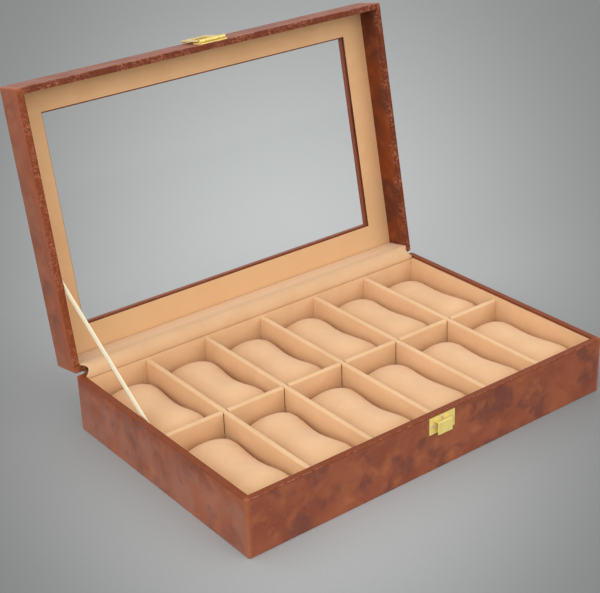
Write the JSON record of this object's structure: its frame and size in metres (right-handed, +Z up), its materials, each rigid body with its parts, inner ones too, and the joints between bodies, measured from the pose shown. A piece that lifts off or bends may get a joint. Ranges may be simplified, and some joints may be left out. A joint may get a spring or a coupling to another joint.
{
  "type": "watch box",
  "caption": "Leather-covered watch box with a hinged window lid, a suede-lined divided tray, lift-out watch pillows, a ribbon stay and a front latch.",
  "frame": {"origin": "centre of the underside", "axes": "+X along the length to the right, -Y to the front where the latch is, +Z up"},
  "size_m": [0.33, 0.2854, 0.2573],
  "materials": {
    "leather": "mottled semi-gloss",
    "suede": "matt nap",
    "pillow_suede": "matt nap",
    "felt": "matt",
    "board": "raw hardboard",
    "brass": "polished",
    "glass": "clear",
    "ribbon": "woven satin"
  },
  "bodies": {
    "base": {"catch_plate": "brass", "catch_rivets": "brass", "hinge_left_base_leaf": "brass", "hinge_right_base_leaf": "brass", "hinge_left_pin": "brass", "hinge_right_pin": "brass", "hinge_base_screws": "brass", "base_front_wall": "board", "base_back_wall": "board", "base_left_wall": "board", "base_right_wall": "board", "base_bottom_board": "board", "divider_long_1": "suede", "divider_long_2": "suede", "divider_long_3": "suede", "divider_long_4": "suede", "divider_long_5": "suede", "divider_cross": "suede", "liner_front": "suede", "liner_back": "suede", "liner_left": "suede", "liner_right": "suede", "liner_floor": "suede", "hinge_cloth": "suede", "base_leather": "leather", "base_felt": "felt", "ribbon_stay": "ribbon"},
    "lid": {"lid_front_wall": "board", "lid_back_wall": "board", "lid_left_wall": "board", "lid_right_wall": "board", "lid_window_board": "board", "lid_leather": "leather", "window_glass": "glass", "lid_liner_panel": "suede", "hinge_left_lid_leaf": "brass", "hinge_right_lid_leaf": "brass", "hinge_lid_screws": "brass", "latch_plate": "brass", "latch_pin": "brass", "latch_rivets": "brass"},
    "latch_flap": {"latch_flap": "brass"},
    "pillow_back_1": {"pillow_back_1": "pillow_suede"},
    "pillow_back_2": {"pillow_back_2": "pillow_suede"},
    "pillow_back_3": {"pillow_back_3": "pillow_suede"},
    "pillow_back_4": {"pillow_back_4": "pillow_suede"},
    "pillow_back_5": {"pillow_back_5": "pillow_suede"},
    "pillow_back_6": {"pillow_back_6": "pillow_suede"},
    "pillow_front_1": {"pillow_front_1": "pillow_suede"},
    "pillow_front_2": {"pillow_front_2": "pillow_suede"},
    "pillow_front_3": {"pillow_front_3": "pillow_suede"},
    "pillow_front_4": {"pillow_front_4": "pillow_suede"},
    "pillow_front_5": {"pillow_front_5": "pillow_suede"},
    "pillow_front_6": {"pillow_front_6": "pillow_suede"}
  },
  "joints": [
    {"name": "lid_hinge", "type": "hinge", "parent": "base", "child": "lid", "pos_m": [0, 0.1065, 0.0455], "axis": [-1, 0, 0], "range_deg": [-100.5, 0], "deforming": ["ribbon_stay", "hinge_cloth"]},
    {"name": "latch_hinge", "type": "hinge", "parent": "lid", "child": "latch_flap", "pos_m": [0.0015, 0.15007, 0.25588], "axis": [1, 0, 0], "range_deg": [0, 180.67]},
    {"name": "pillow_back_1_lift", "type": "slide", "parent": "base", "child": "pillow_back_1", "axis": [0, 0, 1], "range_m": [0, 0.06]},
    {"name": "pillow_back_2_lift", "type": "slide", "parent": "base", "child": "pillow_back_2", "axis": [0, 0, 1], "range_m": [0, 0.06]},
    {"name": "pillow_back_3_lift", "type": "slide", "parent": "base", "child": "pillow_back_3", "axis": [0, 0, 1], "range_m": [0, 0.06]},
    {"name": "pillow_back_4_lift", "type": "slide", "parent": "base", "child": "pillow_back_4", "axis": [0, 0, 1], "range_m": [0, 0.06]},
    {"name": "pillow_back_5_lift", "type": "slide", "parent": "base", "child": "pillow_back_5", "axis": [0, 0, 1], "range_m": [0, 0.06]},
    {"name": "pillow_back_6_lift", "type": "slide", "parent": "base", "child": "pillow_back_6", "axis": [0, 0, 1], "range_m": [0, 0.06]},
    {"name": "pillow_front_1_lift", "type": "slide", "parent": "base", "child": "pillow_front_1", "axis": [0, 0, 1], "range_m": [0, 0.06]},
    {"name": "pillow_front_2_lift", "type": "slide", "parent": "base", "child": "pillow_front_2", "axis": [0, 0, 1], "range_m": [0, 0.06]},
    {"name": "pillow_front_3_lift", "type": "slide", "parent": "base", "child": "pillow_front_3", "axis": [0, 0, 1], "range_m": [0, 0.06]},
    {"name": "pillow_front_4_lift", "type": "slide", "parent": "base", "child": "pillow_front_4", "axis": [0, 0, 1], "range_m": [0, 0.06]},
    {"name": "pillow_front_5_lift", "type": "slide", "parent": "base", "child": "pillow_front_5", "axis": [0, 0, 1], "range_m": [0, 0.06]},
    {"name": "pillow_front_6_lift", "type": "slide", "parent": "base", "child": "pillow_front_6", "axis": [0, 0, 1], "range_m": [0, 0.06]}
  ]
}
